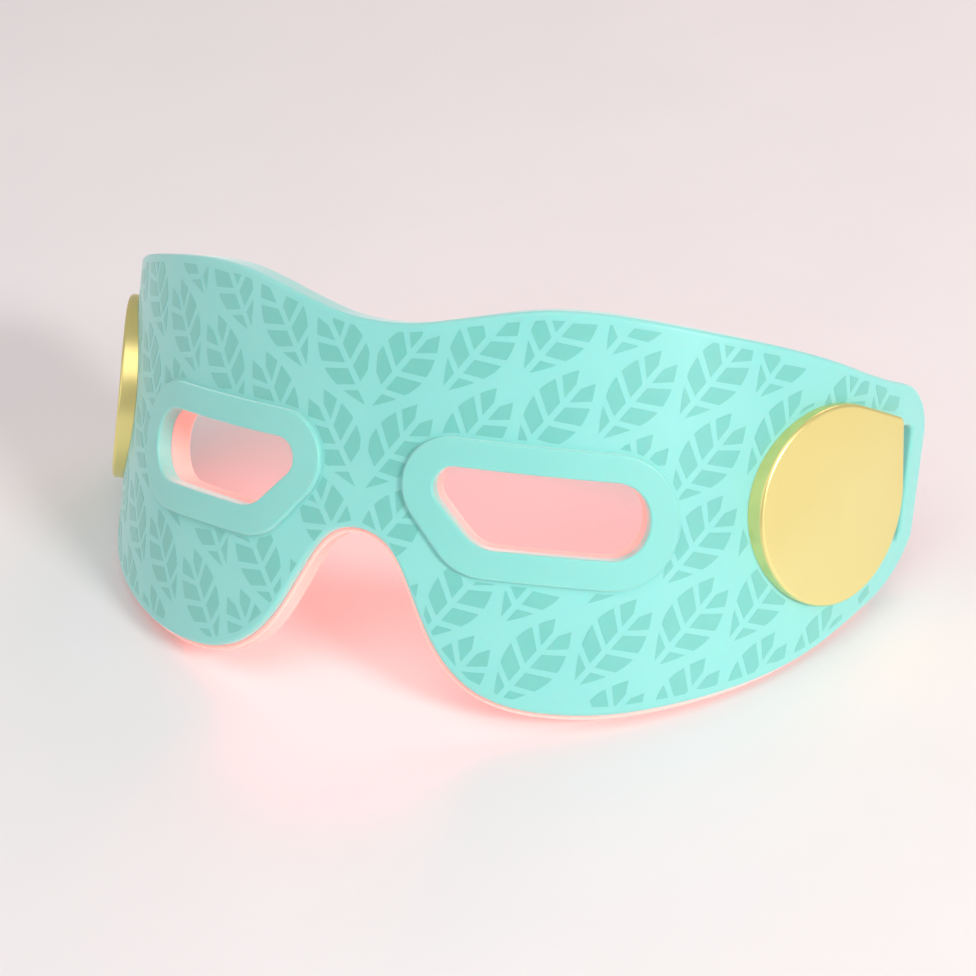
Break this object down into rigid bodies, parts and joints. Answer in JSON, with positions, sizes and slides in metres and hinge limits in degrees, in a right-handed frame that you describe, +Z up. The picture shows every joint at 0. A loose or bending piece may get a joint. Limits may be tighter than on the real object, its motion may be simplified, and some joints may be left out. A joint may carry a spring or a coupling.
{
  "type": "eye massager mask",
  "caption": "Wrap-around eye mask with a mint leaf-pattern shell, raised eye rims, gold teardrop temple covers, lit translucent liner and slots for a head strap.",
  "frame": {"origin": "middle of the mask's footprint on the table, at rest", "axes": "+X to the viewer's right along the mask's width, the front of the mask faces -Y, +Z up"},
  "size_m": [0.153, 0.0758, 0.065],
  "materials": {
    "shell_mint": "satin",
    "rim_mint": "satin",
    "liner_silicone": "translucent satin",
    "gold": "satin anodised",
    "tray_white": "matte",
    "flex_amber": "satin",
    "led_lens": "gloss",
    "steel": "satin",
    "magnet_dark": "satin",
    "tungsten": "satin",
    "board_green": "satin",
    "chip_black": "matte",
    "battery_foil": "satin foil",
    "socket_steel": "satin",
    "tongue_black": "matte",
    "plug_rubber": "matte"
  },
  "bodies": {
    "mask": {"outer_shell": "shell_mint", "eye_rim_left": "rim_mint", "eye_rim_right": "rim_mint", "inner_liner": "liner_silicone", "led_flex_left": "flex_amber", "led_flex_right": "flex_amber", "bridge_ribbon": "flex_amber", "leds_left": "led_lens", "leds_right": "led_lens", "temple_cover_left": "gold", "temple_cover_right": "gold", "pod_tray_left": "tray_white", "pod_tray_right": "tray_white", "tray_screws_left": "steel", "tray_screws_right": "steel", "battery": "battery_foil", "battery_guard": "board_green", "control_board": "board_green", "board_chips": "chip_black", "button_switch": "steel", "charging_socket": "socket_steel", "socket_tongue": "tongue_black", "motor_base_left": "steel", "motor_can_left": "steel", "motor_shaft_left": "steel", "motor_magnet_left": "magnet_dark", "motor_base_right": "steel", "motor_can_right": "steel", "motor_shaft_right": "steel", "motor_magnet_right": "magnet_dark"},
    "button": {"power_button": "gold", "switch_plunger": "chip_black"},
    "plug": {"socket_plug": "plug_rubber"},
    "rotor_left": {"motor_rotor_left": "board_green", "motor_weight_left": "tungsten"},
    "rotor_right": {"motor_rotor_right": "board_green", "motor_weight_right": "tungsten"}
  },
  "joints": [
    {"name": "power_button_press", "type": "slide", "parent": "mask", "child": "button", "axis": [0.8998, 0.3899, -0.1961], "range_m": [0, 0.0005], "stiffness_N_per_m": 600},
    {"name": "socket_plug_hinge", "type": "hinge", "parent": "mask", "child": "plug", "pos_m": [-0.06692, 0.00396, 0.00072], "axis": [-0.9346, -0.3177, 0.1598], "range_deg": [0, 100]},
    {"name": "motor_spin_left", "type": "hinge", "parent": "mask", "child": "rotor_left", "pos_m": [-0.06434, 0.00322, 0.02136], "axis": [-0.8998, -0.3899, 0.1961], "continuous": true},
    {"name": "motor_spin_right", "type": "hinge", "parent": "mask", "child": "rotor_right", "pos_m": [0.06434, 0.00322, 0.02136], "axis": [0.8998, -0.3899, 0.1961], "continuous": true}
  ]
}
